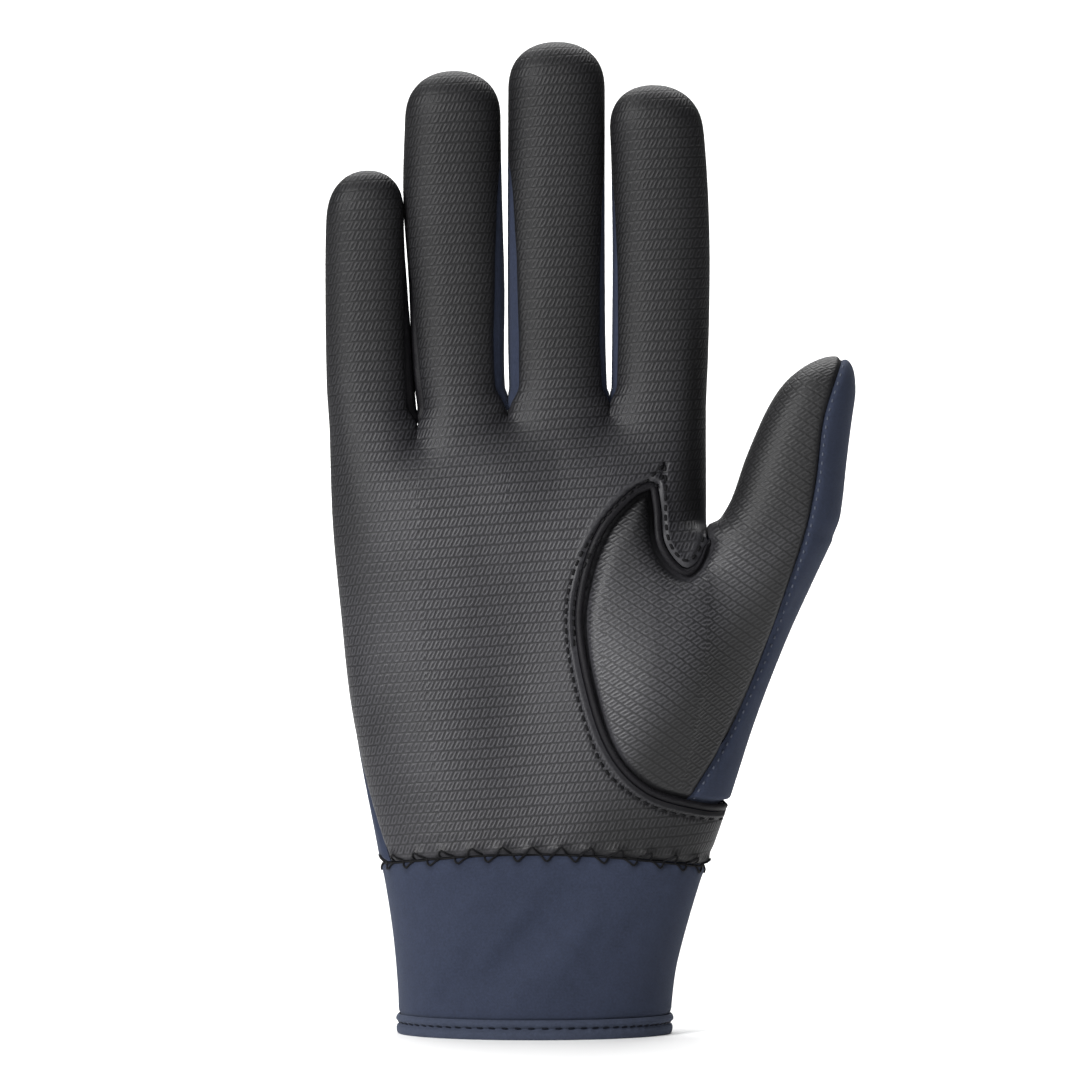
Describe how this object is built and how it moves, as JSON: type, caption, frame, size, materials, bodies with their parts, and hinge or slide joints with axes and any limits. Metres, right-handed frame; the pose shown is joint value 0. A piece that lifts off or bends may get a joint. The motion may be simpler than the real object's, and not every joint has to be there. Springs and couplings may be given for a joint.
{
  "type": "horse riding glove",
  "caption": "Right riding glove in its worn form: grip leather palm and thumb, stretch fabric back, finger strips and a wide open cuff with a stitched hem.",
  "frame": {"origin": "middle of the wrist opening, level with the hem's lower edge", "axes": "+Z to the finger tips, the palm faces -Y, the thumb points to +X"},
  "size_m": [0.1238, 0.0427, 0.2323],
  "materials": {
    "grip_leather": "matt synthetic leather embossed with rows of small loops",
    "leather_edge": "turned leather edge and black thread",
    "stretch_fabric": "smooth navy stretch knit",
    "hem_fabric": "navy stretch knit, folded and stitched"
  },
  "bodies": {
    "root": {"palm_panel": "grip_leather", "back_panel": "stretch_fabric", "fourchette_little_ring": "grip_leather", "fourchette_ring_middle": "stretch_fabric", "fourchette_middle_index": "stretch_fabric", "thumb_front": "grip_leather", "thumb_back": "stretch_fabric", "thumb_seam_roll": "leather_edge", "cuff": "stretch_fabric", "cuff_hem": "hem_fabric"}
  },
  "joints": []
}
